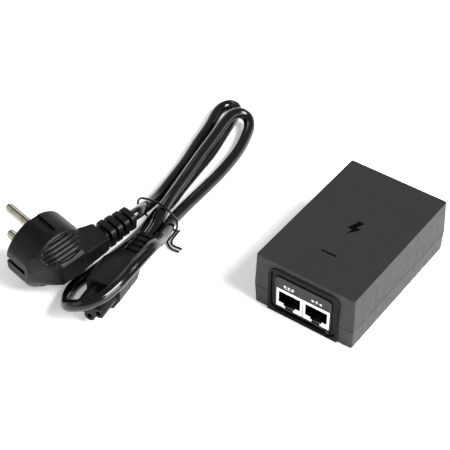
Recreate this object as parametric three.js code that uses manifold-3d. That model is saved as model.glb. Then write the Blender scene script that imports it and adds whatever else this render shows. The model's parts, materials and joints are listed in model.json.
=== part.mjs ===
// A power over Ethernet injector: a two-part case with LAN and POE sockets at the front, a mains inlet at
// the rear and a converter board inside, and its mains lead, which lies folded and tied beside it.
// Millimetres, +Z up. The sockets face -Y, the inlet faces +Y, and the case stands on Z = 0.
import * as THREE from "three";
import { ConvexGeometry } from "three/addons/geometries/ConvexGeometry.js";
import { mergeVertices } from "three/addons/utils/BufferGeometryUtils.js";
import Module from "manifold-3d";

const wasm = await Module();
wasm.setup();

// ---------------------------------------------------------------- driving dimensions

const GAP = 0.3; // clearance between neighbouring pieces

const CASE = {
  width: 55.4,
  height: 30.4,
  rearY: 43.1,
  frontY: -41.9,
  wall: 2,
  corner: 1,
  partingZ: 11.06,
  topDraft: 0.6,
  bottomDraft: 0.5,
};

const BAY = {
  padHalfWidth: 19.5,
  padProud: 0.5,
  padTop: 27.4,
  padCorner: 4.5,
  ringHalfWidth: 18,
  ringLow: 1.7,
  ringHigh: 26.3,
  ringCorner: 3.1,
  windowHalfWidth: 15.9,
  windowLow: 3.9,
  windowHigh: 23.8,
  windowCorner: 2.4,
  windowLowCorner: 1.2,
  ringFrontY: -41.4,
  ringBackY: -39.9,
  panelFrontY: -42,
  panelBackY: -40.4,
};

const JACK = {
  pitch: 14.9,
  width: 14.6,
  lowZ: 5.1,
  highZ: 16.5,
  frontY: -42.1,
  backY: -25,
  sheet: 0.4,
  socketWidth: 12,
  socketLow: 8,
  socketHigh: 14.8,
  socketDepth: 13,
  stepWidth: 6.4,
  stepLow: 6.6,
  latchWidth: 4.4,
};

const CONTACT = {
  count: 8,
  pitch: 1.02,
  radius: 0.22,
  frontY: -40,
  backY: -31,
  frontZ: 14.2,
  backZ: 12.7,
};

const LIGHT = { x: 0, y: -21.1, slotLength: 8.2, slotWidth: 1.1, lensSunk: 0.9 };

const EMBLEM = { x: 0.6, y: 0, height: 12, depth: 0.5 };

const RESET = {
  x: 13.9,
  z: 3,
  buttonRadius: 1.2,
  holeRadius: 1.5,
  bossRadius: 2,
  frontY: -41.9,
  armX: 16.5,
  armFrontY: -38.9,
  armBackY: -37.7,
  plungerRadius: 0.9,
  plungerZ: 6.7,
};

const INLET = {
  z: 15.2,
  halfWidth: 9.3,
  halfHeight: 7.6,
  frontY: 42.8,
  backY: 27,
  recessDepth: 12.5,
  lobeRadius: 3.8,
  pinRadius: 1.2,
};

// Poles of the appliance coupler, seen from its pin side: across, and up.
const POLES = { live: [-5, 1.5], neutral: [5, 1.5], earth: [0, -2.1] };

const BOARD = {
  halfWidth: 25,
  frontY: -36.5,
  rearY: 39,
  lowZ: 3.2,
  highZ: 4.8,
  postX: 21.5,
  postY: [-26, 34],
};

const LABEL = { halfWidth: 19, frontY: 2, rearY: 36, recess: 0.5, thickness: 0.25 };

const PLUG = {
  place: [-125.9, -86.7, 19.4],
  turn: -0.146,
  pitch: 0.118,
  roll: 0.02,
  radius: 17.9,
  drumDepth: 13.4,
  shoulderDepth: 16.5,
  depth: 27,
  flat: 1.2,
  pinLength: 19,
  pinRadius: 2.4,
  pinSpacing: 19,
  clipSunk: 3.8,
  cordDepth: 20,
  neckEnd: 25.8,
  reliefEnd: 44.8,
};

const CORD = { diameter: 6, sides: 10, steps: 78 };

const CONNECTOR = {
  place: [-81, -100.3, 8],
  turn: 0.17,
  noseLength: 13.5,
  bodyEnd: 41,
  reliefEnd: 57,
  barrelRadius: 2.8,
  holeRadius: 1.4,
  halfWidth: 9.3,
  top: 7.4,
  bottom: -7.6,
};

// Middle of the cord, from the plug's strain relief to the connector's.
const CORD_ROUTE = [
  [-99.6, -44.9, 17.9],
  [-99, -40.7, 17.7],
  [-100.6, -34.6, 15],
  [-103.6, -26.4, 10.4],
  [-106.8, -14, 6],
  [-110.4, 2, 3.7],
  [-113.6, 18, 3.1],
  [-117.6, 34, 3.1],
  [-121.2, 50, 3.1],
  [-124.5, 61, 3.1],
  [-125, 66.8, 3.1],
  [-123.2, 70.9, 3.1],
  [-119.5, 71.7, 3.1],
  [-116.2, 68.2, 3.1],
  [-114, 60, 3.1],
  [-110.6, 47, 3.1],
  [-107, 32, 3.1],
  [-104.8, 16, 3.1],
  [-102.6, 0, 3.1],
  [-100.2, -13, 3.6],
  [-99.2, -25.6, 5],
  [-98.2, -41, 3.6],
  [-99.2, -62, 3.1],
  [-101, -78, 3.1],
  [-101.2, -87.6, 3.6],
  [-96.9, -97.7, 6.1],
  [-88.6, -105.2, 12.4],
  [-81.5, -103.5, 15.8],
  [-77, -97.8, 17.2],
  [-74.6, -88.4, 18.9],
  [-75, -78.6, 19.4],
  [-75.7, -67.9, 20],
  [-77.4, -56.8, 18.6],
  [-83.2, -42, 10.4],
  [-90, -25, 5],
  [-92.4, -8, 3.1],
  [-92.8, 8, 3.1],
  [-93.6, 24, 3.1],
  [-96.2, 42, 3.1],
  [-99.9, 54.6, 3.4],
  [-102.8, 61.4, 4.3],
  [-106.4, 64.9, 5.9],
  [-110.2, 63.8, 8.1],
  [-112, 58.6, 9.4],
  [-111.4, 50, 9.5],
  [-109.4, 40, 9.4],
  [-105.6, 20, 9.4],
  [-101.4, 0, 9.4],
  [-95.8, -23, 10.4],
  [-92.3, -35.6, 8.2],
  [-90.75, -43.7, 8],
];

const TIE = { radius: 0.6, y: -26.5, sides: 8 };

// Middle of the tie's wire, from one tail, round the folded cord, to the other. X, how far along Y, and Z.
const TIE_ROUTE = [
  [-76.4, -10.4, 0.8],
  [-81.6, -10.6, 0.8],
  [-85.6, -7.6, 0.8],
  [-86, -3.4, 1.2],
  [-85.2, -0.4, 4.4],
  [-86.2, 0.6, 9],
  [-91, 0.6, 12.6],
  [-96, 0.2, 14.8],
  [-101.6, -0.6, 15.2],
  [-106.8, -1.4, 14.2],
  [-109, -1.4, 10],
  [-107.4, -0.2, 4.8],
  [-103.8, 0.8, 1.3],
  [-97, 1.2, 0.8],
  [-89.6, 1.2, 0.8],
  [-85, 0.8, 1.5],
  [-83.8, -0.4, 3.6],
  [-84, -2.6, 2.6],
  [-84.4, -5, 1],
  [-82.6, -8, 0.8],
  [-76.4, -8, 0.8],
];

// ---------------------------------------------------------------- materials

function plastic(colour, roughness = 0.6) {
  return new THREE.MeshStandardMaterial({ color: colour, roughness, metalness: 0 });
}

function metal(colour, roughness = 0.3) {
  return new THREE.MeshStandardMaterial({ color: colour, roughness, metalness: 1 });
}

const CASE_PLASTIC = { colour: 0x3a3c3a, roughness: 0.62 };

// ---------------------------------------------------------------- solids

// A three.js geometry as a manifold-3d solid.
function solidOf(geometry) {
  const bare = geometry.clone();
  bare.deleteAttribute("normal");
  bare.deleteAttribute("uv");
  const merged = mergeVertices(bare, 1e-4);
  return new wasm.Manifold(
    new wasm.Mesh({
      numProp: 3,
      vertProperties: merged.attributes.position.array,
      triVerts: new Uint32Array(merged.index.array),
    }),
  );
}

// A manifold-3d solid as a three.js geometry.
function geometryOf(solid) {
  const mesh = solid.getMesh();
  const geometry = new THREE.BufferGeometry();
  geometry.setAttribute("position", new THREE.BufferAttribute(mesh.vertProperties, mesh.numProp));
  geometry.setIndex(new THREE.BufferAttribute(mesh.triVerts, 1));
  return geometry;
}

function join(...solids) {
  return solids.reduce((sum, solid) => sum.add(solid));
}

function cut(solid, ...tools) {
  return tools.reduce((rest, tool) => rest.subtract(tool), solid);
}

// A box between two corners.
function block([x0, x1], [y0, y1], [z0, z1]) {
  const geometry = new THREE.BoxGeometry(x1 - x0, y1 - y0, z1 - z0);
  geometry.translate((x0 + x1) / 2, (y0 + y1) / 2, (z0 + z1) / 2);
  return solidOf(geometry);
}

// A round rod along X, Y or Z between two places on that axis, centred on (a, b) of the other two axes.
function rod(axis, radius, [from, to], [a, b], sides = 20, endRadius = radius) {
  const geometry = new THREE.CylinderGeometry(endRadius, radius, to - from, sides);
  const middle = (from + to) / 2;
  if (axis === "x") {
    geometry.rotateZ(-Math.PI / 2);
    geometry.translate(middle, a, b);
  }
  if (axis === "y") geometry.translate(a, middle, b);
  if (axis === "z") {
    geometry.rotateX(Math.PI / 2);
    geometry.translate(a, b, middle);
  }
  return solidOf(geometry);
}

// A rectangle with round corners, whose lower two may have a radius of their own.
function roundedRectangle([x0, x1], [y0, y1], radius, low = radius) {
  const shape = new THREE.Shape();
  shape.absarc(x1 - radius, y1 - radius, radius, 0, Math.PI / 2);
  shape.absarc(x0 + radius, y1 - radius, radius, Math.PI / 2, Math.PI);
  shape.absarc(x0 + low, y0 + low, low, Math.PI, 1.5 * Math.PI);
  shape.absarc(x1 - low, y0 + low, low, 1.5 * Math.PI, 2 * Math.PI);
  return shape;
}

function polygon(points) {
  return new THREE.Shape(points.map(([x, y]) => new THREE.Vector2(x, y)));
}

// An outline drawn in X and Y, raised from z0 to z1.
function plate(shape, [z0, z1], curveSegments = 5) {
  const geometry = new THREE.ExtrudeGeometry(shape, { depth: z1 - z0, bevelEnabled: false, curveSegments });
  geometry.translate(0, 0, z0);
  return solidOf(geometry);
}

// An outline drawn in X and Z, carried from y0 to y1.
function facing(shape, [y0, y1], curveSegments = 5) {
  const geometry = new THREE.ExtrudeGeometry(shape, { depth: y1 - y0, bevelEnabled: false, curveSegments });
  geometry.rotateX(Math.PI / 2);
  geometry.translate(0, y1, 0);
  return solidOf(geometry);
}

// The smallest solid without hollows round a list of points.
function hull(points) {
  return solidOf(new ConvexGeometry(points.map(([x, y, z]) => new THREE.Vector3(x, y, z))));
}

// A section swept along a smooth line through points.
function sweep(points, radius, sides, steps) {
  const section = new THREE.Shape();
  for (let i = 0; i < sides; i++) {
    const angle = (2 * Math.PI * i) / sides;
    const x = radius * Math.cos(angle);
    const y = radius * Math.sin(angle);
    if (i === 0) section.moveTo(x, y);
    else section.lineTo(x, y);
  }
  const path = new THREE.CatmullRomCurve3(points.map(([x, y, z]) => new THREE.Vector3(x, y, z)));
  return solidOf(new THREE.ExtrudeGeometry(section, { steps, bevelEnabled: false, extrudePath: path }));
}

// A length of the case's outline, narrowing by its draft, and set in from the outer wall by an inset.
function caseBlock([z0, z1], inset, [low, high]) {
  const halfWidth = CASE.width / 2 - inset;
  const halfLength = (CASE.rearY - CASE.frontY) / 2 - inset;
  const middleY = (CASE.rearY + CASE.frontY) / 2;
  const radius = Math.max(CASE.corner - inset, 0.4);
  const outline = roundedRectangle([-halfWidth, halfWidth], [-halfLength, halfLength], radius);
  const geometry = new THREE.ExtrudeGeometry(outline, { depth: 1, bevelEnabled: false, curveSegments: 4 });
  const position = geometry.attributes.position;
  for (let i = 0; i < position.count; i++) {
    const draft = position.getZ(i) > 0.5 ? high : low;
    position.setX(i, position.getX(i) * (1 - draft / halfWidth));
    position.setY(i, position.getY(i) * (1 - draft / halfLength) + middleY);
    position.setZ(i, position.getZ(i) > 0.5 ? z1 : z0);
  }
  return solidOf(geometry);
}

// ---------------------------------------------------------------- the part

const part = new THREE.Group();

function add(name, solid, material, parent = part) {
  const mesh = new THREE.Mesh(geometryOf(solid), material);
  mesh.name = name;
  parent.add(mesh);
  return mesh;
}

// ---------------------------------------------------------------- case

const SEAM = GAP / 2;
const FLOOR = CASE.wall;
const ROOF = CASE.height - CASE.wall;

// The raised pad round the port bay, with round upper corners.
function bayPad([z0, z1]) {
  const outline = roundedRectangle(
    [-BAY.padHalfWidth, BAY.padHalfWidth],
    [-2 * BAY.padCorner, BAY.padTop],
    BAY.padCorner,
  );
  const pad = facing(outline, [CASE.frontY - BAY.padProud, CASE.frontY + CASE.wall / 2]);
  return pad.intersect(block([-30, 30], [-60, 0], [z0, z1]));
}

// What is cut out of the front wall for the bezel ring and the reset boss.
function bayOpening() {
  const outline = roundedRectangle(
    [-BAY.ringHalfWidth - GAP, BAY.ringHalfWidth + GAP],
    [BAY.ringLow - GAP, BAY.ringHigh + GAP],
    BAY.ringCorner + GAP,
  );
  const through = [CASE.frontY - 3, BAY.ringBackY + 0.6];
  const behindBoss = [through[0], RESET.armFrontY + 1.2];
  return join(
    facing(outline, through),
    rod("y", RESET.bossRadius + GAP, behindBoss, [RESET.x, RESET.z], 24),
  );
}

// What is cut out of the rear wall for the inlet.
function inletOpening() {
  const w = INLET.halfWidth + GAP;
  const h = INLET.halfHeight + GAP;
  return block([-w, w], [38, 50], [INLET.z - h, INLET.z + h]);
}

// A zigzag bolt, a common sign for electric power.
function bolt() {
  const s = EMBLEM.height / 10;
  const outline = [
    [2.2, 5],
    [-0.8, 5],
    [-2.9, -0.9],
    [-0.5, -0.9],
    [-1.6, -5],
    [2.9, 1.1],
    [0.5, 1.1],
  ];
  return polygon(outline.map(([x, y]) => [EMBLEM.x + x * s, EMBLEM.y + y * s]));
}

function addTopShell() {
  const outer = caseBlock([CASE.partingZ + SEAM, CASE.height], 0, [0, CASE.topDraft]);
  const inner = caseBlock([CASE.partingZ - 1, ROOF], CASE.wall, [0, CASE.topDraft]);
  const shell = cut(join(outer, bayPad([CASE.partingZ + SEAM, CASE.height])), inner);
  const slot = block(
    [LIGHT.x - LIGHT.slotLength / 2, LIGHT.x + LIGHT.slotLength / 2],
    [LIGHT.y - LIGHT.slotWidth / 2, LIGHT.y + LIGHT.slotWidth / 2],
    [ROOF - 1, CASE.height + 1],
  );
  const emblem = plate(bolt(), [CASE.height - EMBLEM.depth, CASE.height + 1]);
  add(
    "top_shell",
    cut(shell, bayOpening(), inletOpening(), slot, emblem),
    plastic(CASE_PLASTIC.colour, CASE_PLASTIC.roughness),
  );
}

// A lip on the lower shell that locates the upper one, just inside its wall.
function lip() {
  const foot = cut(
    caseBlock([CASE.partingZ - 2.6, CASE.partingZ - SEAM], 1.7, [0, 0]),
    caseBlock([CASE.partingZ - 3, CASE.partingZ], 3.2, [0, 0]),
  );
  const tongue = cut(
    caseBlock([CASE.partingZ - 0.4, CASE.partingZ + 1.8], CASE.wall + GAP, [0, 0.05]),
    caseBlock([CASE.partingZ - 1, CASE.partingZ + 2], 3.2, [0, 0.05]),
  );
  const ports = block([-20, 20], [-50, -30], [0, 20]);
  const inlet = block([-INLET.halfWidth - 1, INLET.halfWidth + 1], [30, 50], [0, 20]);
  return cut(join(foot, tongue), ports, inlet);
}

// An upright rod at each of the board's four fixing places.
function boardRods(radius, depth, sides) {
  return [-1, 1].flatMap((side) =>
    BOARD.postY.map((y) => rod("z", radius, depth, [side * BOARD.postX, y], sides)),
  );
}

function addBottomShell() {
  const outer = caseBlock([0, CASE.partingZ - SEAM], 0, [CASE.bottomDraft, 0.1]);
  const inner = caseBlock([FLOOR, CASE.partingZ + 1], CASE.wall, [CASE.bottomDraft, 0.1]);
  const walls = cut(join(outer, bayPad([0, CASE.partingZ - SEAM])), inner);
  const label = block([-LABEL.halfWidth, LABEL.halfWidth], [LABEL.frontY, LABEL.rearY], [-1, LABEL.recess]);
  const posts = boardRods(2.4, [FLOOR - 0.5, BOARD.lowZ - GAP], 20);
  add(
    "bottom_shell",
    cut(join(walls, lip(), ...posts), bayOpening(), inletOpening(), label),
    plastic(CASE_PLASTIC.colour, CASE_PLASTIC.roughness),
  );
}

function addRatingLabel() {
  const label = block(
    [-LABEL.halfWidth + 0.5, LABEL.halfWidth - 0.5],
    [LABEL.frontY + 0.5, LABEL.rearY - 0.5],
    [LABEL.recess - 0.1 - LABEL.thickness, LABEL.recess - 0.1],
  );
  add("rating_label", label, plastic(0xb9bab8, 0.5));
}

// ---------------------------------------------------------------- port bay

function addBezelRing() {
  const outline = roundedRectangle(
    [-BAY.ringHalfWidth, BAY.ringHalfWidth],
    [BAY.ringLow, BAY.ringHigh],
    BAY.ringCorner,
  );
  const window = roundedRectangle(
    [-BAY.windowHalfWidth, BAY.windowHalfWidth],
    [BAY.windowLow, BAY.windowHigh],
    BAY.windowCorner,
    BAY.windowLowCorner,
  );
  const depth = [BAY.ringFrontY, BAY.ringBackY];
  const through = [BAY.ringFrontY - 1, BAY.ringBackY + 1];
  const slots = [
    [-15, -0.3],
    [0.5, 7.4],
  ].map((x) => block(x, through, [2.3, 3.3]));
  const boss = rod("y", RESET.bossRadius, depth, [RESET.x, RESET.z], 24);
  const hole = rod("y", RESET.holeRadius, through, [RESET.x, RESET.z], 24);
  add(
    "bezel_ring",
    cut(join(cut(facing(outline, depth), facing(window, through)), boss), hole, ...slots),
    plastic(0x101112, 0.18),
  );
}

function addPortPanel() {
  const side = BAY.windowHalfWidth - GAP;
  const outline = roundedRectangle(
    [-side, side],
    [BAY.windowLow + GAP, BAY.windowHigh - GAP],
    BAY.windowCorner - GAP,
    BAY.windowLowCorner - GAP,
  );
  const through = [BAY.panelFrontY - 1, BAY.panelBackY + 1];
  const jacks = JACK.pitch / 2 + JACK.width / 2 + GAP;
  add(
    "port_panel",
    cut(
      facing(outline, [BAY.panelFrontY, BAY.panelBackY]),
      block([-jacks, jacks], through, [JACK.lowZ - GAP, JACK.highZ + GAP]),
      rod("y", RESET.bossRadius + GAP, through, [RESET.x, RESET.z], 24),
    ),
    plastic(0x4c4e49, 0.55),
  );
}

// The socket's outline: a wide slot for the plug with a stepped slot for its latch below.
function socketOutline(middle, margin, low) {
  const wide = JACK.socketWidth / 2 + margin;
  const step = JACK.stepWidth / 2 + margin;
  const latch = JACK.latchWidth / 2 + margin;
  const right = [
    [latch, low],
    [latch, JACK.stepLow - margin],
    [step, JACK.stepLow - margin],
    [step, JACK.socketLow - margin],
    [wide, JACK.socketLow - margin],
    [wide, JACK.socketHigh + margin],
  ];
  const left = right.map(([x, z]) => [-x, z]).reverse();
  return polygon([...right, ...left].map(([x, z]) => [middle + x, z]));
}

function addJack(name, middle) {
  const half = JACK.width / 2;
  const sheet = JACK.sheet;
  const socketDepth = [JACK.frontY - 1, JACK.frontY + JACK.socketDepth];
  const shield = cut(
    block([middle - half, middle + half], [JACK.frontY, JACK.backY], [JACK.lowZ, JACK.highZ]),
    block(
      [middle - half + sheet, middle + half - sheet],
      [JACK.frontY + sheet, JACK.backY + 1],
      [JACK.lowZ + sheet, JACK.highZ - sheet],
    ),
    facing(socketOutline(middle, 0, JACK.lowZ - 1), [JACK.frontY - 1, JACK.frontY + 1]),
  );
  add(name + "_shield", shield, metal(0xd6d8d8, 0.28));

  const inset = sheet + GAP;
  const housing = cut(
    block(
      [middle - half + inset, middle + half - inset],
      [JACK.frontY + inset, JACK.backY - GAP],
      [JACK.lowZ + inset, JACK.highZ - inset],
    ),
    facing(socketOutline(middle, 0, JACK.lowZ - 1), socketDepth),
  );
  add(name + "_housing", housing, plastic(0x0d0d0e, 0.5));

  for (let i = 0; i < CONTACT.count; i++) {
    const x = middle + (i - (CONTACT.count - 1) / 2) * CONTACT.pitch;
    const wire = [
      [x, CONTACT.frontY, CONTACT.frontZ],
      [x, (CONTACT.frontY + CONTACT.backY) / 2, (CONTACT.frontZ + CONTACT.backZ) / 2],
      [x, CONTACT.backY, CONTACT.backZ],
    ];
    add(name + "_contact_" + (i + 1), sweep(wire, CONTACT.radius, 6, 2), metal(0xd8b45a, 0.25));
  }
}

// ---------------------------------------------------------------- reset button

function addReset() {
  const armDepth = [RESET.armFrontY, RESET.armBackY];
  const cap = rod("y", RESET.buttonRadius, [RESET.frontY, RESET.armFrontY + 0.2], [RESET.x, RESET.z], 20);
  const arm = block([RESET.x - 1, RESET.armX + 0.9], armDepth, [RESET.z - 0.7, RESET.z + 1]);
  const riser = block([RESET.armX - 0.9, RESET.armX + 0.9], armDepth, [RESET.z - 0.7, 7.4]);
  add("reset_button", join(cap, arm, riser), plastic(0x161617, 0.45));

  const body = cut(
    block([RESET.armX - 1.45, RESET.armX + 3.8], [-36.2, -32.7], [BOARD.highZ + GAP, 9]),
    rod("y", RESET.plungerRadius + GAP, [-37, -33.7], [RESET.armX, RESET.plungerZ]),
  );
  add("reset_switch", body, plastic(0x232324, 0.5));
  const plunger = rod("y", RESET.plungerRadius, [-37.4, -34.6], [RESET.armX, RESET.plungerZ], 16);
  add("reset_switch_plunger", plunger, plastic(0x6e2b22, 0.5));
}

// ---------------------------------------------------------------- status light

function addStatusLight() {
  const half = LIGHT.slotLength / 2 - GAP;
  const lensTop = CASE.height - LIGHT.lensSunk;
  const lens = block([-half, half], [LIGHT.y - 0.35, LIGHT.y + 0.35], [ROOF - 2, lensTop]);
  const guide = hull(
    [-1, 1].flatMap((side) =>
      [-1, 1].flatMap((depth) => [
        [side * half, LIGHT.y + depth * 1.1, ROOF - GAP],
        [side * 2.2, LIGHT.y + depth * 1.4, BOARD.highZ + 4.2],
      ]),
    ),
  );
  add("light_pipe", join(lens, guide), plastic(0xe8ecee, 0.15));
  boxed("status_led", [3.2, 2.8, 3.5], [LIGHT.x, LIGHT.y], plastic(0xf2f2ea, 0.3));
}

// ---------------------------------------------------------------- inlet

// The coupler's outline: three round lobes and what joins them.
function couplerBlock(radius, depth, z, sides = 24) {
  const lobes = Object.values(POLES).map(([x, up]) => rod("y", radius, depth, [x, z + up], sides));
  const [reach, high] = POLES.neutral;
  const low = POLES.earth[1];
  const bar = block([-reach, reach], depth, [z + high - 0.8 * radius, z + high + 0.8 * radius]);
  const stem = block([-0.8 * radius, 0.8 * radius], depth, [z + low - 0.4 * radius, z + high]);
  return join(...lobes, bar, stem);
}

function addInlet() {
  const recessFloor = INLET.frontY - INLET.recessDepth;
  const body = block(
    [-INLET.halfWidth, INLET.halfWidth],
    [INLET.backY, INLET.frontY],
    [INLET.z - INLET.halfHeight, INLET.z + INLET.halfHeight],
  );
  const recess = couplerBlock(INLET.lobeRadius, [recessFloor, INLET.frontY + 1], INLET.z);
  const pinHoles = Object.values(POLES).map(([x, up]) =>
    rod("y", INLET.pinRadius + GAP, [INLET.backY - 1, recessFloor + 1], [x, INLET.z + up], 16),
  );
  add("inlet_housing", cut(body, recess, ...pinHoles), plastic(0x151516, 0.4));
  for (const [pole, [x, up]] of Object.entries(POLES)) {
    const pin = rod("y", INLET.pinRadius, [INLET.backY - 2.5, INLET.frontY - 2.5], [x, INLET.z + up], 16);
    add("inlet_pin_" + pole, pin, metal(0xc8cacc, 0.25));
  }
}

// ---------------------------------------------------------------- board and its components

const ON_BOARD = BOARD.highZ + GAP;

// A can or winding that stands on the board.
function standing(name, radius, height, [x, y], material) {
  add(name, rod("z", radius, [ON_BOARD, ON_BOARD + height], [x, y], 24), material);
}

// A block that stands on the board.
function boxed(name, [width, length, height], [x, y], material) {
  const body = block(
    [x - width / 2, x + width / 2],
    [y - length / 2, y + length / 2],
    [ON_BOARD, ON_BOARD + height],
  );
  add(name, body, material);
}

// A winding between the two cheeks of its bobbin, lying along Y.
function bobbin([width, length, height], [x, y], cheek = 1.2, waist = 1.6) {
  const z = [ON_BOARD, ON_BOARD + height];
  const outer = block([x - width / 2, x + width / 2], [y - length / 2, y + length / 2], z);
  const sides = [-1, 1].map((side) => {
    const edge = x + (side * width) / 2;
    return block(
      [edge - waist, edge + waist],
      [y - length / 2 + cheek, y + length / 2 - cheek],
      [z[0] - 1, z[1] + 1],
    );
  });
  return cut(outer, ...sides);
}

function addBoard() {
  const holes = boardRods(0.9, [0, 10], 12);
  const board = block(
    [-BOARD.halfWidth, BOARD.halfWidth],
    [BOARD.frontY, BOARD.rearY],
    [BOARD.lowZ, BOARD.highZ],
  );
  add("circuit_board", cut(board, ...holes), plastic(0x2f5d3a, 0.45));

  standing("fuse", 4.2, 7.6, [-16, 32], plastic(0x2a2a2c, 0.4));
  boxed("x_capacitor", [8, 17, 14], [16.5, 28], plastic(0xc9a227, 0.45));
  boxed("bridge_rectifier", [6.4, 8.4, 3.4], [0, 21.5], plastic(0x1b1b1d, 0.4));
  standing("bulk_capacitor", 7, 20, [-15.5, 2.5], plastic(0x22272f, 0.35));
  add("common_mode_choke", bobbin([14, 13, 15], [-15.5, 19]), plastic(0x9a5b2c, 0.5));

  const heatsink = join(
    block([15, 16.8], [-4, 16], [ON_BOARD, ON_BOARD + 19]),
    block([15, 21.5], [-4, -2.4], [ON_BOARD + 4, ON_BOARD + 19]),
  );
  add("heatsink", heatsink, metal(0xb4b7ba, 0.4));
  boxed("switching_transistor", [4.4, 10, 15], [19.3, 6], plastic(0x1a1a1c, 0.4));

  add("transformer_winding", bobbin([12.6, 19, 15.4], [1.5, 3.5], 1.2, 1), plastic(0xd9c24a, 0.4));
  const [coreLeft, coreRight, coreMiddleY] = [-6, 9, 3.5];
  const coreTop = block(
    [coreLeft, coreRight],
    [coreMiddleY - 12, coreMiddleY + 12],
    [ON_BOARD + 15.7, ON_BOARD + 18.6],
  );
  const coreLegs = [-11.6, 11.6].map((offset) =>
    block(
      [coreLeft, coreRight],
      [coreMiddleY + offset - 1.6, coreMiddleY + offset + 1.6],
      [ON_BOARD + 1, ON_BOARD + 16],
    ),
  );
  add("transformer_core", join(coreTop, ...coreLegs), plastic(0x2c2c2e, 0.5));

  boxed("optocoupler", [6.4, 4.6, 3.6], [9, -18], plastic(0xe6e6e0, 0.4));
  boxed("output_rectifier", [10, 4.4, 14], [18.5, -14], plastic(0x19191b, 0.4));
  for (const [i, y] of [-12.5, -21].entries()) {
    standing("output_capacitor_" + (i + 1), 4, 14, [-16.5 + i, y], plastic(0x1d2a44, 0.35));
  }
  boxed("y_capacitor", [3, 7.4, 8], [-7.5, -15.5], plastic(0x2b62a8, 0.45));
}

// ---------------------------------------------------------------- mains plug

// Points round a circle across X.
function circle(x, radius, count = 32) {
  return Array.from({ length: count }, (_, i) => {
    const angle = (2 * Math.PI * (i + 0.5)) / count;
    return [x, radius * Math.cos(angle), radius * Math.sin(angle)];
  });
}

// A ribbed sleeve along Y from start to end, round (x, 0).
function strainRelief([start, end], x, [firstRadius, lastRadius], ribs, coreRadius) {
  const core = rod("y", coreRadius, [start, end], [x, 0], 16, CORD.diameter / 2 + 0.9);
  const pitch = (end - start) / (ribs + 0.3);
  const discs = Array.from({ length: ribs }, (_, i) => {
    const from = start + (i + 0.35) * pitch;
    const radius = firstRadius + ((lastRadius - firstRadius) * i) / (ribs - 1);
    return rod("y", radius, [from, from + 0.6 * pitch], [x, 0], 16);
  });
  return join(core, ...discs);
}

// Local axes: X from the pins into the plug, Y along the cord, Z up.
function addPlug() {
  const plug = new THREE.Group();
  plug.position.set(...PLUG.place);
  plug.rotation.set(PLUG.roll, PLUG.pitch, PLUG.turn, "ZYX");
  part.add(plug);

  const { radius, drumDepth, depth, cordDepth, neckEnd } = PLUG;
  const shoulder = circle(PLUG.shoulderDepth, radius - 0.3).filter(([, , z]) => z > 11.5);
  const back = [
    [19.5, -12.3, 8],
    [23.1, -9.6, 7],
    [depth, -4.6, 6.8],
    [depth, 9, 6.8],
    [depth, 9, -6.5],
    [depth, -4.6, -5.6],
  ];
  const drum = hull([
    ...circle(0, radius - 0.8),
    ...circle(1, radius),
    ...circle(drumDepth, radius),
    ...shoulder,
    ...back,
  ]);
  const neck = hull(
    [-1, 1].flatMap((side) => [
      [8, 4, side * 6.8],
      [depth, 4, side * 6.2],
      [cordDepth - 6.2, neckEnd, side * 4.8],
      [cordDepth + 6.2, neckEnd, side * 4.4],
    ]),
  );
  const flat = block([-1, depth + 1], [-radius - 1, -radius + PLUG.flat], [-radius, radius]);
  const clipSlots = [-1, 1].map((side) => {
    const [inner, outer] = [radius - PLUG.clipSunk - 0.8, radius + 1].map((v) => side * v);
    return block([-1, 12.8], [Math.min(inner, outer), Math.max(inner, outer)], [-1.4, 1.4]);
  });
  const guideGrooves = [-1, 1].map((side) =>
    block([-1, drumDepth], [-2.6, 2.6], [side * radius - 1.6, side * radius + 1.6]),
  );
  const pinMiddle = (side) => [0, (side * PLUG.pinSpacing) / 2];
  const pinHoles = [-1, 1].map((side) =>
    rod("x", PLUG.pinRadius + GAP, [-1, 8], pinMiddle(side), 16),
  );
  const body = cut(join(drum, neck), flat, ...clipSlots, ...guideGrooves);
  add("plug_body", cut(body, ...pinHoles), plastic(0x1a1a1b, 0.7), plug);

  const tip = -PLUG.pinLength;
  for (const [name, side] of Object.entries({ lower: -1, upper: 1 })) {
    const pin = join(
      rod("x", PLUG.pinRadius, [tip + 1, 7.6], pinMiddle(side), 16),
      rod("x", PLUG.pinRadius - 1, [tip, tip + 1], pinMiddle(side), 16, PLUG.pinRadius),
    );
    add("plug_pin_" + name, pin, metal(0xb9b4a0, 0.28), plug);
  }

  for (const [name, side] of Object.entries({ near: -1, far: 1 })) {
    const middle = side * (radius - PLUG.clipSunk);
    const clip = block([0.6, 12.4], [middle - 0.4, middle + 0.4], [-1.1, 1.1]);
    add("plug_earth_clip_" + name, clip, metal(0xc0b890, 0.3), plug);
  }

  const relief = strainRelief([neckEnd + GAP, PLUG.reliefEnd], cordDepth, [6, 5.1], 4, 4.6);
  add("plug_strain_relief", relief, plastic(0x19191a, 0.6), plug);
}

// ---------------------------------------------------------------- mains cord and its appliance connector

function addCord() {
  const cord = sweep(CORD_ROUTE, CORD.diameter / 2, CORD.sides, CORD.steps);
  add("mains_cord", cord, plastic(0x141415, 0.22));
}

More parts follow.
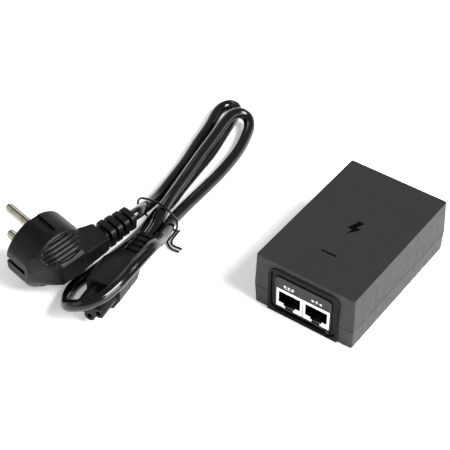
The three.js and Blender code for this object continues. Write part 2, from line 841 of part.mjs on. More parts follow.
// Local axes: the contacts face -Y, the cord leaves along Y, and the earth pole is down.
function addConnector() {
  const connector = new THREE.Group();
  connector.position.set(...CONNECTOR.place);
  connector.rotation.z = CONNECTOR.turn;
  part.add(connector);

  const { noseLength, bodyEnd, reliefEnd, barrelRadius, holeRadius, halfWidth, top, bottom } = CONNECTOR;
  const nose = couplerBlock(barrelRadius, [0, noseLength + 0.5], 0);
  const section = (y, scale) =>
    [
      [halfWidth - 0.8, top],
      [halfWidth, top - 1],
      [halfWidth, -0.5],
      [5.2, bottom],
    ].flatMap(([x, z]) => [
      [x * scale, y, z * scale],
      [-x * scale, y, z * scale],
    ]);
  const waist = noseLength + 17;
  const body = hull([...section(noseLength, 0.98), ...section(waist, 1), ...section(bodyEnd, 0.66)]);
  const holes = Object.values(POLES).map(([x, up]) => rod("y", holeRadius, [-1, 11], [x, up], 16));
  add("connector_body", cut(join(nose, body), ...holes), plastic(0x1c1c1d, 0.6), connector);

  const relief = strainRelief([bodyEnd + GAP, reliefEnd], 0, [4.9, 4.3], 3, 4.3);
  add("connector_strain_relief", relief, plastic(0x19191a, 0.55), connector);
}

function addTwistTie() {
  const route = TIE_ROUTE.map(([x, along, z]) => [x, TIE.y + along, z]);
  add("twist_tie", sweep(route, TIE.radius, TIE.sides, 70), plastic(0x121213, 0.4));
}

addTopShell();
addBottomShell();
addRatingLabel();
addBezelRing();
addPortPanel();
addJack("lan", -JACK.pitch / 2);
addJack("poe", JACK.pitch / 2);
addReset();
addStatusLight();
addInlet();
addBoard();
addPlug();
addCord();
addConnector();
addTwistTie();

export default part;
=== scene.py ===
"""A power over Ethernet injector and its folded mains lead, finished for a still picture."""
import json
import math

import bmesh
import bpy
from mathutils import Matrix, Vector


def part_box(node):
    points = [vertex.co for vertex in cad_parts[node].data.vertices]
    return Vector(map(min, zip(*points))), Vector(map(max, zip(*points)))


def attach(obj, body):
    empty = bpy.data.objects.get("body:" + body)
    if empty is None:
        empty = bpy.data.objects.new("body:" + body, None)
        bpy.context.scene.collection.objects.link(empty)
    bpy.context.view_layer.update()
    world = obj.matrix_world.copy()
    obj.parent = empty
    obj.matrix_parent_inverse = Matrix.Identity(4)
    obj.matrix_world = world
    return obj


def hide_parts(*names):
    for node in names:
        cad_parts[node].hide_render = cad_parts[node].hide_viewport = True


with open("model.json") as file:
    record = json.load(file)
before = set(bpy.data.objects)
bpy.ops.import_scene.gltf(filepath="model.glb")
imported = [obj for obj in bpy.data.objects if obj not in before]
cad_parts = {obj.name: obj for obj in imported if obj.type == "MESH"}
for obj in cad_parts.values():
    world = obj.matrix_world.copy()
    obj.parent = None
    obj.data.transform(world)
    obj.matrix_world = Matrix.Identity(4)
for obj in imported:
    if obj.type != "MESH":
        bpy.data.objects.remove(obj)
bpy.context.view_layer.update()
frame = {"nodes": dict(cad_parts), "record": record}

NODES = frame["nodes"]
SLOT_OF = {entry["node"]: entry["material_slot"] for entry in frame["record"]["subparts"]}
BODIES = frame["record"]["behaviour"]["bodies"]
BODY_OF = {node: body for body, nodes in BODIES.items() for node in nodes}
MM = 0.001

# ---------------------------------------------------------------- camera

scene = bpy.context.scene
RIGHT = Vector((0.81180, 0.58393, 0.0))
UP = Vector((-0.39534, 0.54961, 0.73596))
BACK = Vector((0.42975, -0.59745, 0.67703))

camera = bpy.data.objects.new("camera", bpy.data.cameras.new("camera"))
scene.collection.objects.link(camera)
turn = Matrix((RIGHT, UP, BACK)).transposed()
camera.matrix_world = Matrix.Translation((0.25433, -0.45760, 0.51082)) @ turn.to_4x4()
camera.data.sensor_width = 36
camera.data.lens = 119.2554
camera.data.clip_start = 0.01
camera.data.clip_end = 50
scene.camera = camera

# ---------------------------------------------------------------- light and floor


def area_light(name, place, aim, size, watts, colour=(1, 1, 1)):
    lamp = bpy.data.lights.new(name, "AREA")
    lamp.shape = "RECTANGLE"
    lamp.size, lamp.size_y = size
    lamp.energy = watts
    lamp.color = colour
    holder = bpy.data.objects.new(name, lamp)
    holder.location = place
    holder.rotation_mode = "QUATERNION"
    holder.rotation_quaternion = (Vector(aim) - Vector(place)).to_track_quat("-Z", "Y")
    scene.collection.objects.link(holder)


MIDDLE = (-0.04, 0, 0)
area_light("key_softbox", (1.0, 0.2, 1.05), MIDDLE, (1.0, 0.7), 46)
area_light("fill_softbox", (-0.9, -0.9, 0.9), MIDDLE, (1.2, 0.8), 2.5, (1, 0.97, 0.9))
area_light("side_strip", (1.3, 0.1, 0.28), MIDDLE, (0.8, 0.3), 10)

area_light("plug_highlight", (-0.3, 0.16, 0.27), (-0.12, -0.08, 0.01), (0.16, 0.1), 0.12)

# The sky is bright at the horizon, where the white backdrop would stand, and dim overhead.
HORIZON_BRIGHTNESS = 1.5
OVERHEAD_BRIGHTNESS = 0.3
DIM_SKY_FROM = 0.42

world = bpy.data.worlds.new("studio")
world.use_nodes = True
sky = world.node_tree
direction = sky.nodes.new("ShaderNodeTexCoord")
parts = sky.nodes.new("ShaderNodeSeparateXYZ")
sky.links.new(direction.outputs["Generated"], parts.inputs["Vector"])
fall = sky.nodes.new("ShaderNodeMapRange")
fall.interpolation_type = "SMOOTHSTEP"
fall.inputs["From Min"].default_value = 0.0
fall.inputs["From Max"].default_value = DIM_SKY_FROM
fall.inputs["To Min"].default_value = HORIZON_BRIGHTNESS
fall.inputs["To Max"].default_value = OVERHEAD_BRIGHTNESS
sky.links.new(parts.outputs["Z"], fall.inputs["Value"])
sky.links.new(fall.outputs["Result"], sky.nodes["Background"].inputs["Strength"])
sky.nodes["Background"].inputs["Color"].default_value = (1, 1, 1, 1)
scene.world = world
scene.view_settings.view_transform = "Standard"

# ---------------------------------------------------------------- materials

MATERIALS = {}


def srgb(value):
    """A colour written as 0xrrggbb, in the linear values that shaders take."""
    parts = [(value >> shift & 255) / 255 for shift in (16, 8, 0)]
    return [p / 12.92 if p <= 0.04045 else ((p + 0.055) / 1.055) ** 2.4 for p in parts]


def blank_material(name):
    material = bpy.data.materials.new(name)
    material.use_nodes = True
    tree = material.node_tree
    shader = tree.nodes["Principled BSDF"]
    where = tree.nodes.new("ShaderNodeTexCoord")
    MATERIALS[name] = material
    return tree, shader, where.outputs["Object"]


def noise(tree, where, size_mm, detail=3, rough=0.55, stretch=None):
    """Noise with features about size_mm across; stretch squeezes it along axes."""
    node = tree.nodes.new("ShaderNodeTexNoise")
    node.inputs["Scale"].default_value = 1000 / size_mm
    node.inputs["Detail"].default_value = detail
    node.inputs["Roughness"].default_value = rough
    if stretch:
        mapping = tree.nodes.new("ShaderNodeMapping")
        mapping.inputs["Scale"].default_value = stretch
        tree.links.new(where, mapping.inputs["Vector"])
        where = mapping.outputs["Vector"]
    tree.links.new(where, node.inputs["Vector"])
    return node.outputs["Fac"]


def ranged(tree, value, low, high, start=0.3, stop=0.7):
    node = tree.nodes.new("ShaderNodeMapRange")
    node.inputs["From Min"].default_value = start
    node.inputs["From Max"].default_value = stop
    node.inputs["To Min"].default_value = low
    node.inputs["To Max"].default_value = high
    tree.links.new(value, node.inputs["Value"])
    return node.outputs["Result"]


def mixed(tree, factor, first, second):
    """A colour between two, each a list of three numbers or a socket."""
    node = tree.nodes.new("ShaderNodeMix")
    node.data_type = "RGBA"
    tree.links.new(factor, node.inputs["Factor"])
    for socket, value in ((node.inputs[6], first), (node.inputs[7], second)):
        if isinstance(value, bpy.types.NodeSocket):
            tree.links.new(value, socket)
        else:
            socket.default_value = (*value, 1)
    return node.outputs[2]


def bumped(tree, shader, layers):
    """Stacks bumps, each (height, depth in mm)."""
    last = None
    for height, depth_mm in layers:
        bump = tree.nodes.new("ShaderNodeBump")
        bump.inputs["Distance"].default_value = depth_mm * MM
        bump.inputs["Strength"].default_value = 1
        tree.links.new(height, bump.inputs["Height"])
        if last:
            tree.links.new(last, bump.inputs["Normal"])
        last = bump.outputs["Normal"]
    tree.links.new(last, shader.inputs["Normal"])


def painted_edge_highlight(tree, amount):
    """A mask of the outer edges, about half a millimetre wide, for a painted highlight."""
    geometry = tree.nodes.new("ShaderNodeNewGeometry")
    bevel = tree.nodes.new("ShaderNodeBevel")
    bevel.samples = 4
    bevel.inputs["Radius"].default_value = 0.5 * MM
    dot = tree.nodes.new("ShaderNodeVectorMath")
    dot.operation = "DOT_PRODUCT"
    tree.links.new(geometry.outputs["Normal"], dot.inputs[0])
    tree.links.new(bevel.outputs["Normal"], dot.inputs[1])
    return ranged(tree, dot.outputs["Value"], amount, 0, 0.8, 0.99)


def moulded(name, colour, roughness, grain_mm, grain_depth, mottle=0.12, edge_highlight=0.0, specular=0.3):
    """Moulded plastic: a grain, uneven gloss, faint mottling, and edges lightened as a painted
    highlight.
    """
    tree, shader, where = blank_material(name)
    base = srgb(colour)
    cloudy = noise(tree, where, 14, 4)
    tone = mixed(
        tree,
        ranged(tree, cloudy, 0, 1),
        [c * (1 - mottle) for c in base],
        [min(c * (1 + mottle), 1) for c in base],
    )
    # Painted highlight: the colour is lighter along the outer edges.
    if edge_highlight:
        tone = mixed(tree, painted_edge_highlight(tree, edge_highlight), tone, [min(3 * c + 0.02, 1) for c in base])
    tree.links.new(tone, shader.inputs["Base Color"])
    patchy = noise(tree, where, 4, 4)
    gloss = ranged(tree, patchy, roughness - 0.05, roughness + 0.06)
    tree.links.new(gloss, shader.inputs["Roughness"])
    shader.inputs["Specular IOR Level"].default_value = specular
    grain = noise(tree, where, grain_mm, 2, 0.6)
    bumped(tree, shader, [(grain, grain_depth), (cloudy, 0.02)])
    return MATERIALS[name]


def metallic(name, colour, roughness, stretch=(1, 1, 1), stain=None, scratch=0.012):
    """Plated metal with fine drawn lines, dull patches and a little tarnish."""
    tree, shader, where = blank_material(name)
    base = srgb(colour)
    shader.inputs["Metallic"].default_value = 1
    patches = noise(tree, where, 3, 5)
    dull = srgb(stain) if stain else [c * 0.75 for c in base]
    tone = mixed(tree, ranged(tree, patches, 0, 0.5, 0.45, 0.75), base, dull)
    tree.links.new(tone, shader.inputs["Base Color"])
    lines = noise(tree, where, 0.5, 3, 0.6, stretch)
    gloss = ranged(tree, lines, roughness - 0.06, roughness + 0.1)
    tree.links.new(gloss, shader.inputs["Roughness"])
    bumped(tree, shader, [(lines, scratch)])
    return MATERIALS[name]


# The case's outer edges carry a light painted highlight.
moulded("case_charcoal", 0x1D1E1E, 0.5, 0.35, 0.03, 0.08, edge_highlight=0.1, specular=0.36)
moulded("bezel_black", 0x010101, 0.22, 1.2, 0.004, 0.1, specular=0.1)
moulded("panel_dark", 0x2A2A27, 0.5, 0.35, 0.03, 0.1)
metallic("socket_metal", 0xF0F1F0, 0.24, (1, 6, 1))
moulded("socket_black", 0x030304, 0.45, 0.5, 0.01)
metallic("contact_gold", 0xD9A93C, 0.22, (8, 1, 1), 0xA87F2C)
moulded("button_black", 0x0B0B0C, 0.35, 0.4, 0.01)
moulded("switch_body", 0x141416, 0.45, 0.5, 0.01)
moulded("switch_plunger", 0x6E2B22, 0.4, 0.5, 0.01)
moulded("light_pipe", 0x030303, 0.3, 1.5, 0.01, specular=0.2)
moulded("led_white", 0xE6E4D6, 0.3, 0.6, 0.01)
moulded("label_silver", 0x8F9190, 0.45, 0.6, 0.006, 0.06)
moulded("inlet_black", 0x0B0B0C, 0.32, 0.5, 0.012)
metallic("pin_nickel", 0xC8CACC, 0.2, (6, 1, 6))
moulded("board_green", 0x1F4A2A, 0.4, 1.5, 0.02, 0.25)
moulded("component_dark", 0x17171A, 0.4, 0.6, 0.015)
moulded("component_yellow", 0xB8921C, 0.35, 1.2, 0.02)
moulded("component_blue", 0x2B62A8, 0.3, 1.0, 0.015)
moulded("component_white", 0xD8D8D0, 0.4, 0.8, 0.01)
moulded("capacitor_sleeve", 0x1A2540, 0.28, 2.0, 0.02)
metallic("winding_copper", 0xA8602C, 0.3, (1, 9, 1), 0x7A3F18, 0.05)
moulded("ferrite", 0x222224, 0.6, 0.8, 0.04)
metallic("heatsink", 0xB4B7BA, 0.34, (1, 1, 8))
moulded("plug_black", 0x060606, 0.4, 0.8, 0.16, 0.2, specular=0.2)
moulded("relief_black", 0x040405, 0.4, 0.6, 0.035, 0.15, specular=0.2)
metallic("plug_pin_metal", 0xA5A293, 0.14, (1, 6, 6), 0x5E5B4C)
metallic("earth_clip_metal", 0xC0B080, 0.28, (1, 8, 1), 0x7A6A40)
moulded("cord_black", 0x030304, 0.12, 2.2, 0.02, 0.2, specular=0.5)
moulded("connector_black", 0x080909, 0.42, 0.55, 0.05, 0.15, specular=0.18)
moulded("tie_black", 0x040405, 0.3, 0.8, 0.02)
# Near-black for the strip of painted shade in the seam between the shells.
moulded("seam_shade_black", 0x010101, 0.7, 0.8, 0.004, 0.05, specular=0.05)
moulded("mark_white", 0xE9E9E4, 0.5, 0.3, 0.004, 0.04)

for node, obj in NODES.items():
    obj.data.materials.clear()
    obj.data.materials.append(MATERIALS[SLOT_OF[node]])

# ---------------------------------------------------------------- mesh tools

SMOOTH_ANGLE = math.radians(35)
EDGE_ANGLE = math.radians(32)


def finish_piece(obj, body, material, nodes=()):
    """Gives a new piece its material, shading and body, and hides the CAD nodes it stands for."""
    if obj.name not in scene.collection.objects:
        scene.collection.objects.link(obj)
    obj.data.materials.clear()
    obj.data.materials.append(MATERIALS[material])
    if obj.type == "MESH":
        obj.data.shade_smooth()
        obj.data.set_sharp_from_angle(angle=SMOOTH_ANGLE)
    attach(obj, body)
    if nodes:
        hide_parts(*nodes)
    return obj


def new_object(name, bm):
    mesh = bpy.data.meshes.new(name)
    bmesh.ops.recalc_face_normals(bm, faces=bm.faces)
    bm.to_mesh(mesh)
    bm.free()
    return bpy.data.objects.new(name, mesh)


def apply_modifiers(obj):
    if obj.name not in scene.collection.objects:
        scene.collection.objects.link(obj)
    bpy.context.view_layer.update()
    done = bpy.data.meshes.new_from_object(obj.evaluated_get(bpy.context.evaluated_depsgraph_get()))
    obj.modifiers.clear()
    obj.data = done
    return obj


def softened(node, width_mm, segments=3, pick=None):
    """A finer copy of a CAD node, with the edges that pick() takes rounded over."""
    bm = bmesh.new()
    bm.from_mesh(NODES[node].data)
    bmesh.ops.remove_doubles(bm, verts=bm.verts, dist=2e-6)
    bmesh.ops.dissolve_limit(bm, angle_limit=math.radians(0.6), verts=bm.verts, edges=bm.edges)
    weights = bm.edges.layers.float.new("bevel_weight_edge")
    for edge in bm.edges:
        if len(edge.link_faces) != 2 or edge.calc_face_angle(0) < EDGE_ANGLE:
            continue
        centre = (edge.verts[0].co + edge.verts[1].co) / (2 * MM)
        edge[weights] = float(pick(centre) if pick else 1)
    obj = new_object(node + "_fine", bm)
    bevel = obj.modifiers.new("round", "BEVEL")
    bevel.limit_method = "WEIGHT"
    bevel.width = width_mm * MM
    bevel.segments = segments
    bevel.harden_normals = False
    apply_modifiers(obj)
    piece = finish_piece(obj, BODY_OF[node], SLOT_OF[node], [node])
    # Large flat faces keep their own shading beside the narrow rounded edges.
    weighted = piece.modifiers.new("flat_faces", "WEIGHTED_NORMAL")
    weighted.keep_sharp = True
    return piece


def squared(half_across, half_up, power, count=64):
    """Points of a rounded outline: power 2 is an ellipse, and more is squarer."""
    points = []
    for i in range(count):
        angle = 2 * math.pi * i / count
        c, s = math.cos(angle), math.sin(angle)
        reach = (abs(c) ** power + abs(s) ** power) ** (-1 / power)
        points.append((half_across * c * reach, half_up * s * reach))
    return points


def loft(name, rings, place=Matrix.Identity(4), axis="y", count=64):
    """A closed skin along an axis through rings.

    A ring is (along, half across, half up, power), and a shift across and up may follow.
    """
    bm = bmesh.new()
    loops = []
    for along, across, up, power, *shift in rings:
        dx, dz = shift or (0, 0)
        loop = []
        for u, v in squared(across, up, power, count):
            spot = (u + dx, along, v + dz) if axis == "y" else (along, u + dx, v + dz)
            loop.append(bm.verts.new(place @ (Vector(spot) * MM)))
        loops.append(loop)
    for lower, upper in zip(loops, loops[1:]):
        for i in range(count):
            j = (i + 1) % count
            bm.faces.new((lower[i], lower[j], upper[j], upper[i]))
    bm.faces.new(loops[0])
    bm.faces.new(loops[-1])
    return new_object(name, bm)


def joined(name, objects):
    """Several objects' meshes as one object."""
    bm = bmesh.new()
    for obj in objects:
        bm.from_mesh(obj.data)
    return new_object(name, bm)


def carve(obj, tools):
    for tool in tools:
        scene.collection.objects.link(tool)
        cutter = obj.modifiers.new("carve", "BOOLEAN")
        cutter.operation = "DIFFERENCE"
        cutter.solver = "MANIFOLD"
        cutter.object = tool
    apply_modifiers(obj)
    for tool in tools:
        bpy.data.objects.remove(tool)
    return obj


def box(name, x, y, z):
    """A plain block in local millimetres, for carving only."""
    bm = bmesh.new()
    bmesh.ops.create_cube(bm, size=1)
    middle = Vector([(a + b) / 2 for a, b in (x, y, z)])
    size = [b - a for a, b in (x, y, z)]
    for vert in bm.verts:
        local = Vector([vert.co[i] * size[i] for i in range(3)]) + middle
        vert.co = local * MM
    return new_object(name, bm)


# ---------------------------------------------------------------- mains cord

CORD_DIAMETER = 6.0
CORD_ROUTE = [
    (-99.6, -44.9, 17.9), (-99, -40.7, 17.7), (-100.6, -34.6, 15), (-103.6, -26.4, 10.4),
    (-106.8, -14, 6), (-110.4, 2, 3.7), (-113.6, 18, 3.1), (-117.6, 34, 3.1),
    (-121.2, 50, 3.1), (-124.5, 61, 3.1), (-125, 66.8, 3.1), (-123.2, 70.9, 3.1),
    (-119.5, 71.7, 3.1), (-116.2, 68.2, 3.1), (-114, 60, 3.1), (-110.6, 47, 3.1),
    (-107, 32, 3.1), (-104.8, 16, 3.1), (-102.6, 0, 3.1), (-100.2, -13, 3.6),
    (-99.2, -25.6, 5), (-98.2, -41, 3.6), (-99.2, -62, 3.1), (-101, -78, 3.1),
    (-101.2, -87.6, 3.6), (-96.9, -97.7, 6.1), (-88.6, -105.2, 12.4), (-81.5, -103.5, 15.8),
    (-77, -97.8, 17.2), (-74.6, -88.4, 18.9), (-75, -78.6, 19.4), (-75.7, -67.9, 20),
    (-77.4, -56.8, 18.6), (-83.2, -42, 10.4), (-90, -25, 5), (-92.4, -8, 3.1),
    (-92.8, 8, 3.1), (-93.6, 24, 3.1), (-96.2, 42, 3.1), (-99.9, 54.6, 3.4),
    (-102.8, 61.4, 4.3), (-106.4, 64.9, 5.9), (-110.2, 63.8, 8.1), (-112, 58.6, 9.4),
    (-111.4, 50, 9.5), (-109.4, 40, 9.4), (-105.6, 20, 9.4), (-101.4, 0, 9.4),
    (-95.8, -23, 10.4), (-92.3, -35.6, 8.2), (-90.75, -43.7, 8),
]


def smooth_line(points, per_span=12):
    """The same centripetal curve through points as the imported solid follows."""
    pts = [Vector(p) for p in points]
    pts = [2 * pts[0] - pts[1], *pts, 2 * pts[-1] - pts[-2]]
    out = []
    for p0, p1, p2, p3 in zip(pts, pts[1:], pts[2:], pts[3:]):
        d0, d1, d2 = ((b - a).length ** 0.5 for a, b in ((p0, p1), (p1, p2), (p2, p3)))
        m1 = ((p1 - p0) / d0 - (p2 - p0) / (d0 + d1) + (p2 - p1) / d1) * d1
        m2 = ((p2 - p1) / d1 - (p3 - p1) / (d1 + d2) + (p3 - p2) / d2) * d1
        for k in range(per_span):
            t = k / per_span
            out.append(
                p1 * (2 * t**3 - 3 * t**2 + 1)
                + m1 * (t**3 - 2 * t**2 + t)
                + p2 * (3 * t**2 - 2 * t**3)
                + m2 * (t**3 - t**2)
            )
    return [*out, pts[-2]]


def wire(name, points, radius_mm, resolution=6):
    """A smooth round wire through points in millimetres."""
    curve = bpy.data.curves.new(name, "CURVE")
    curve.dimensions = "3D"
    curve.bevel_depth = radius_mm * MM
    curve.bevel_resolution = resolution
    curve.use_fill_caps = True
    spline = curve.splines.new("POLY")
    spline.points.add(len(points) - 1)
    for target, point in zip(spline.points, points):
        target.co = (*(Vector(point) * MM), 1)
    spline.use_smooth = True
    return bpy.data.objects.new(name, curve)


cord_line = smooth_line(CORD_ROUTE)
cord = wire("cord_sheath", cord_line, CORD_DIAMETER / 2, 8)
finish_piece(cord, "mains_lead", "cord_black", ["mains_cord"])

# ---------------------------------------------------------------- case

CASE_LOW, CASE_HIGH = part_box("top_shell")
SIDE = CASE_HIGH.x / MM
TOP = CASE_HIGH.z / MM
SEAM = CASE_LOW.z / MM
REAR = CASE_HIGH.y / MM
FRAME_FRONT = CASE_LOW.y / MM
FRAME_DEPTH = 0.35
CASE_FRONT = -41.9
BASE_WALL_TOP = SEAM - 0.3

# An edge belongs to an outer wall when it is this near to it, in millimetres.
SIDE_ZONE = 1.5
REAR_ZONE = 2.2
FRONT_ZONE_END = -41
FRAME_ZONE_END = -42.2

# How much of the rounding's width each kind of edge takes.
RIM_WEIGHT = 1
SEAM_WEIGHT = 0.4
FRAME_WEIGHT = 0.5
RECESS_WEIGHT = 0.15


def shell_edges(level, seam):
    """Full rounding on the outer rim at a level, less on the bay's frame and at the seam."""

    def pick(c):
        outer = abs(c.x) > SIDE - SIDE_ZONE or c.y > REAR - REAR_ZONE or c.y < FRONT_ZONE_END
        if abs(c.z - level) < 0.3 and outer:
            return RIM_WEIGHT
        if abs(c.z - seam) < 0.2 and outer:
            return SEAM_WEIGHT
        if c.y < FRAME_ZONE_END:
            return FRAME_WEIGHT
        if abs(c.z - level) < 0.5:
            return RECESS_WEIGHT
        return 0

    return pick


def frame_blackened(shell):
    """Gives the raised frame of the port bay the gloss black of its ring."""
    shell.data.materials.append(MATERIALS["bezel_black"])
    for face in shell.data.polygons:
        if face.center.y < (FRAME_FRONT + FRAME_DEPTH) * MM:
            face.material_index = 1


frame_blackened(softened("top_shell", 0.55, 3, shell_edges(TOP, SEAM)))
frame_blackened(softened("bottom_shell", 0.5, 3, shell_edges(0, BASE_WALL_TOP)))


def ahead_of(y):
    """Picks the edges in front of a plane across y, in millimetres."""
    return lambda c: 1 if c.y < y else 0


def behind(y):
    """Picks the edges behind a plane across y, in millimetres."""
    return lambda c: 1 if c.y > y else 0


softened("bezel_ring", 0.3, 3, ahead_of(-41.2))
softened("port_panel", 0.25, 3, ahead_of(-41.9))
for socket in ("lan", "poe"):
    softened(socket + "_shield", 0.12, 2, ahead_of(-41))
softened("inlet_housing", 0.35, 3, behind(42.5))
softened("reset_button", 0.25, 3, ahead_of(-41.6))

SEAM_INSET = 0.04
SEAM_DEPTH = 0.8
SEAM_SPREAD = 0.15
SEAM_CORNER = 1.0
SEAM_FROM_BAY = 18.9
SEAM_TO_INLET = 9.9
CORNER_ANGLES = [math.radians(15 * i) for i in range(7)]


def seam_shade_strip():
    """A black strip of painted shade in the gap between the shells, in two lengths from the port
    bay round to the inlet.
    """
    corner = SEAM_CORNER
    x_mid, front, rear = SIDE - corner, CASE_FRONT + corner, REAR - corner
    bm = bmesh.new()
    for side in (-1, 1):
        rows = []
        for distance in (SEAM_INSET, SEAM_INSET + SEAM_DEPTH):
            reach = corner - distance
            turns = [(reach * math.sin(a), reach * math.cos(a)) for a in CORNER_ANGLES]
            spots = [(SEAM_FROM_BAY, front - reach)]
            spots += [(x_mid + u, front - v) for u, v in turns]
            spots += [(x_mid + v, rear + u) for u, v in turns]
            spots += [(SEAM_TO_INLET, rear + reach)]
            for z in (BASE_WALL_TOP - SEAM_SPREAD, SEAM + SEAM_SPREAD):
                rows.append([bm.verts.new(Vector((side * x, y, z)) * MM) for x, y in spots])
        low_out, high_out, low_in, high_in = rows
        loop = (low_out, high_out, high_in, low_in, low_out)
        for a, b in zip(loop, loop[1:]):
            for i in range(len(a) - 1):
                bm.faces.new((a[i], a[i + 1], b[i + 1], b[i]))
        for i in (0, -1):
            bm.faces.new((low_out[i], high_out[i], high_in[i], low_in[i]))
    strip = new_object("seam_shade_strip", bm)
    finish_piece(strip, "case", "seam_shade_black")


# The seam between the shells is darkened by a black strip: painted shade.
seam_shade_strip()

# ---------------------------------------------------------------- marks


def flat_marks(name, outlines, axes, near, far, material, slot):
    """Thin plates with outlines in millimetres, on the case's top ("xy") or its front ("xz")."""
    bm = bmesh.new()
    for outline in outlines:
        rings = []
        for level in (near, far):
            spots = [(u, v, level) if axes == "xy" else (u, level, v) for u, v in outline]
            rings.append([bm.verts.new(Vector(spot) * MM) for spot in spots])
        count = len(outline)
        near_ring, far_ring = rings
        bm.faces.new(near_ring)
        bm.faces.new(far_ring)
        for i in range(count):
            j = (i + 1) % count
            bm.faces.new((near_ring[i], near_ring[j], far_ring[j], far_ring[i]))
    piece = new_object(name, bm)
    finish_piece(piece, "case", material)


def bar(x0, x1, z0, z1):
    return [(x0, z0), (x1, z0), (x1, z1), (x0, z1)]


BOLT = [(2.2, 5), (-0.8, 5), (-2.9, -0.9), (-0.5, -0.9), (-1.6, -5), (2.9, 1.1), (0.5, 1.1)]
BOLT_HEIGHT = 10
EMBLEM_HEIGHT = 12
EMBLEM_X = 0.6
EMBLEM_FIT = 0.94
scale = EMBLEM_FIT * EMBLEM_HEIGHT / BOLT_HEIGHT
emblem = [(EMBLEM_X + scale * x, scale * y) for x, y in BOLT]
flat_marks("emblem_inlay", [emblem], "xy", TOP - 0.5, TOP - 0.4, "bezel_black", "bezel_black")

PANEL_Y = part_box("port_panel")[0].y / MM
MARK_FACES = (PANEL_Y - 0.05, PANEL_Y + 0.05)
MARK_Z = 18.9

# A network: three stations on one line.
STATIONS_X = (-10.2, -8, -5.8)
network = [bar(x - 0.65, x + 0.65, MARK_Z - 0.25, MARK_Z + 0.9) for x in STATIONS_X]
network += [bar(x - 0.15, x + 0.15, MARK_Z - 0.75, MARK_Z - 0.2) for x in STATIONS_X]
network += [bar(-10.35, -5.65, MARK_Z - 0.95, MARK_Z - 0.7)]
flat_marks("network_mark", network, "xz", *MARK_FACES, "mark_white", "component_white")

# Power over the line: a bolt between two stations.
power = [bar(x - 0.55, x + 0.55, MARK_Z - 0.6, MARK_Z + 0.6) for x in (5.2, 9.8)]
power += [[(7.5 + 0.24 * x, MARK_Z + 0.2 * y) for x, y in BOLT]]
power += [bar(x, x + 0.85, MARK_Z - 0.12, MARK_Z + 0.12) for x in (5.75, 8.4)]
flat_marks("power_mark", power, "xz", *MARK_FACES, "mark_white", "component_white")

# ---------------------------------------------------------------- plug

PLUG_PLACE = (
    Matrix.Translation(Vector((-125.9, -86.7, 19.4)) * MM)
    @ Matrix.Rotation(-0.146, 4, "Z")
    @ Matrix.Rotation(0.118, 4, "Y")
    @ Matrix.Rotation(0.02, 4, "X")
)
DRUM_RADIUS = 17.85
DRUM_DEPTH = 13.4
BACK_DEPTH = 26.95
GRIP_HALF_WIDTH = 6.2
GRIP_HALF_LENGTH = 12.5
GRIP_RIDGE_PITCH = 2.2
CLIP_SLOT_DEPTH = 12.8
PIN_HEIGHT = 9.5
VOXEL = 0.35


def hulled(name, points):
    """The smallest solid without hollows round points in millimetres."""
    bm = bmesh.new()
    for point in points:
        bm.verts.new(Vector(point) * MM)
    result = bmesh.ops.convex_hull(bm, input=bm.verts)
    spare = {*result["geom_interior"], *result["geom_unused"]}
    spare = [part for part in spare if isinstance(part, bmesh.types.BMVert)]
    bmesh.ops.delete(bm, geom=spare, context="VERTS")
    return new_object(name, bm)


def circle(x, radius, count=96):
    angles = [2 * math.pi * i / count for i in range(count)]
    return [(x, radius * math.cos(a), radius * math.sin(a)) for a in angles]


def plug_moulding():
    """The drum, its slanted back and the neck, melted together, then dented, slotted and bored."""
    r = DRUM_RADIUS
    rims = [(0, r - 1.1), (0.2, r - 0.6), (0.6, r - 0.2), (1.1, r), (DRUM_DEPTH, r)]
    points = [point for x, radius in rims for point in circle(x, radius)]
    points += [point for point in circle(16.5, r - 0.3) if point[2] > 11.5]
    points += [(19.5, -12.3, 8), (23.1, -9.6, 7), (BACK_DEPTH, -4.6, 6.8)]
    points += [(BACK_DEPTH, 9, 6.8), (BACK_DEPTH, 9, -6.5), (BACK_DEPTH, -4.6, -5.6)]
    drum = hulled("plug_drum", points)
    ends = [(8, 4, 6.8), (BACK_DEPTH, 4, 6.2), (13.8, 25.75, 4.8), (26.2, 25.75, 4.4)]
    neck = hulled("plug_neck", [(x, y, side * z) for x, y, z in ends for side in (-1, 1)])
    body = joined("plug_moulding", [drum, neck])
    remesh = body.modifiers.new("fuse", "REMESH")
    remesh.mode = "VOXEL"
    remesh.voxel_size = VOXEL * MM
    smooth = body.modifiers.new("melt", "SMOOTH")
    smooth.factor = 0.5
    smooth.iterations = 4
    apply_modifiers(body)
    for vert in body.data.vertices:
        vert.co = grip_dent(vert.co / MM) * MM
    tools = [box("cut", (-2, 28), (-r - 2, -r + 1.2), (-20, 20))]
    for side in (-1, 1):
        reach = sorted((side * (r - 4.6), side * (r + 1)))
        tools.append(box("cut", (-2, CLIP_SLOT_DEPTH), reach, (-1.4, 1.4)))
        tools.append(box("cut", (-2, DRUM_DEPTH), (-2.6, 2.6), (side * r - 1.6, side * r + 1.6)))
        bore = [(x, 2.7, 2.7, 2, 0, side * PIN_HEIGHT) for x in (-2, 8)]
        tools.append(loft("cut", bore, axis="x", count=32))
    carve(body, tools)
    body.data.transform(PLUG_PLACE)
    return finish_piece(body, "mains_lead", "plug_black", ["plug_body"])


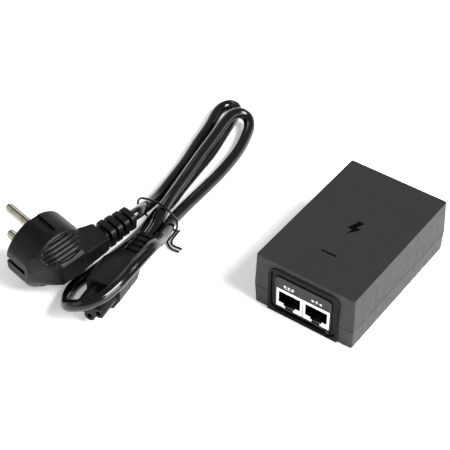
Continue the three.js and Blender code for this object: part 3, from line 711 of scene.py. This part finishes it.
def grip_dent(p):
    """Sinks an oval finger grip with ridges into the slanted back, above and below."""
    if p.z > 0:
        centre, normal = Vector((21.5, 0.8, 12.4)), Vector((0.71, 0, 0.7))
        slope = Vector((0.7, 0, -0.71))
    else:
        centre, normal = Vector((20.6, 0.8, -11.9)), Vector((0.66, 0, -0.75))
        slope = Vector((0.75, 0, 0.66))
    offset = p - centre
    across, along, off = offset.dot(slope), offset.y, offset.dot(normal)
    reach = (across / GRIP_HALF_WIDTH) ** 2 + (along / GRIP_HALF_LENGTH) ** 2
    if reach >= 1 or abs(off) > 5:
        return p
    edge = min((1 - reach) / 0.2, 1)
    edge = edge * edge * (3 - 2 * edge)
    ridge = max(0, math.cos(2 * math.pi * across / GRIP_RIDGE_PITCH)) ** 1.5
    return p - normal * edge * (1.0 - 0.6 * ridge)


plug_moulding()


RIBS = 4
RIB_GAP = 0.28


def ribbed_relief(name, start, end, first, last, core, place, shift, node):
    """A sleeve of separate square ribs, first to last half wide, on a slimmer core."""
    pitch = (end - start) / RIBS
    rings = [(start, core, core, 3, *shift)]
    for i in range(RIBS):
        low = start + (i + RIB_GAP) * pitch
        high = start + (i + 1) * pitch
        half = first + (last - first) * i / (RIBS - 1)
        waist = core - 0.2 * i
        profile = [(low, waist, 3), (low + 0.02, half - 0.35, 4.5), (low + 0.3, half, 4.5)]
        profile += [(high - 0.3, half, 4.5), (high - 0.02, half - 0.35, 4.5), (high, waist, 3)]
        rings += [(along, reach, reach, power, *shift) for along, reach, power in profile]
    sleeve = loft(name, rings, place, count=48)
    return finish_piece(sleeve, "mains_lead", "relief_black", [node])


ribbed_relief(
    "plug_relief_ribs", 26.1, 44.8, 6.0, 5.1, 4.3, PLUG_PLACE, (20, 0), "plug_strain_relief"
)

PIN_PROFILE = [(-19, 0.7), (-18.7, 1.4), (-18.2, 1.95), (-17.4, 2.3), (-16.6, 2.4), (7.4, 2.4)]
for name, side in (("lower", -1), ("upper", 1)):
    rings = [(along, r, r, 2, 0, side * PIN_HEIGHT) for along, r in PIN_PROFILE]
    pin = loft("plug_pin_" + name + "_turned", rings, PLUG_PLACE, axis="x", count=40)
    finish_piece(pin, "mains_lead", "plug_pin_metal", ["plug_pin_" + name])

for side in ("near", "far"):
    softened("plug_earth_clip_" + side, 0.2, 2)

# ---------------------------------------------------------------- connector

CONNECTOR_PLACE = (
    Matrix.Translation(Vector((-81, -100.3, 8)) * MM)
    @ Matrix.Rotation(0.17, 4, "Z")
)
NOSE_END = 13


def connector_edges(c):
    """Full rounding on the grip, and less on the nose that goes into the inlet."""
    local = CONNECTOR_PLACE.inverted() @ (c * MM) / MM
    return 1 if local.y > NOSE_END else 0.4


softened("connector_body", 0.7, 3, connector_edges)
ribbed_relief(
    "connector_relief_ribs", 41.2, 57, 4.8, 4.2, 3.9, CONNECTOR_PLACE, (0, 0),
    "connector_strain_relief",
)

# ---------------------------------------------------------------- tie

TIE_Y = -26.5
TIE_RADIUS = 0.56
TIE_ROUTE = [
    (-76.4, -10.4, 0.8), (-81.6, -10.6, 0.8), (-85.6, -7.6, 0.8), (-86, -3.4, 1.2),
    (-85.2, -0.4, 4.4), (-86.2, 0.6, 9), (-91, 0.6, 12.6), (-96, 0.2, 14.8),
    (-101.6, -0.6, 15.2), (-106.8, -1.4, 14.2), (-109, -1.4, 10), (-107.4, -0.2, 4.8),
    (-103.8, 0.8, 1.3), (-97, 1.2, 0.8), (-89.6, 1.2, 0.8), (-85, 0.8, 1.5),
    (-83.8, -0.4, 3.6), (-84, -2.6, 2.6), (-84.4, -5, 1), (-82.6, -8, 0.8),
    (-76.4, -8, 0.8),
]
tie_line = smooth_line([(x, TIE_Y + along, z) for x, along, z in TIE_ROUTE], 8)
tie = wire("tie_wire", tie_line, TIE_RADIUS, 4)
finish_piece(tie, "mains_lead", "tie_black", ["twist_tie"])

# ---------------------------------------------------------------- floor

FLOOR_REACH = 6.0
FLOOR_BELOW = 0.0002
floor_mesh = bpy.data.meshes.new("floor")
corners = [(x * FLOOR_REACH, y * FLOOR_REACH, 0) for x, y in ((-1, -1), (1, -1), (1, 1), (-1, 1))]
floor_mesh.from_pydata(corners, [], [(0, 1, 2, 3)])
floor = bpy.data.objects.new("floor", floor_mesh)
scene.collection.objects.link(floor)
tree, shader, where = blank_material("floor_white")
shade = mixed(tree, noise(tree, where, 60, 3), [0.93] * 3, [0.96] * 3)
tree.links.new(shade, shader.inputs["Base Color"])
shader.inputs["Roughness"].default_value = 0.9
shader.inputs["Emission Color"].default_value = (1, 1, 1, 1)
shader.inputs["Emission Strength"].default_value = 0.3
shader.inputs["Specular IOR Level"].default_value = 0.1
floor.data.materials.append(MATERIALS["floor_white"])
floor.location.z = -FLOOR_BELOW
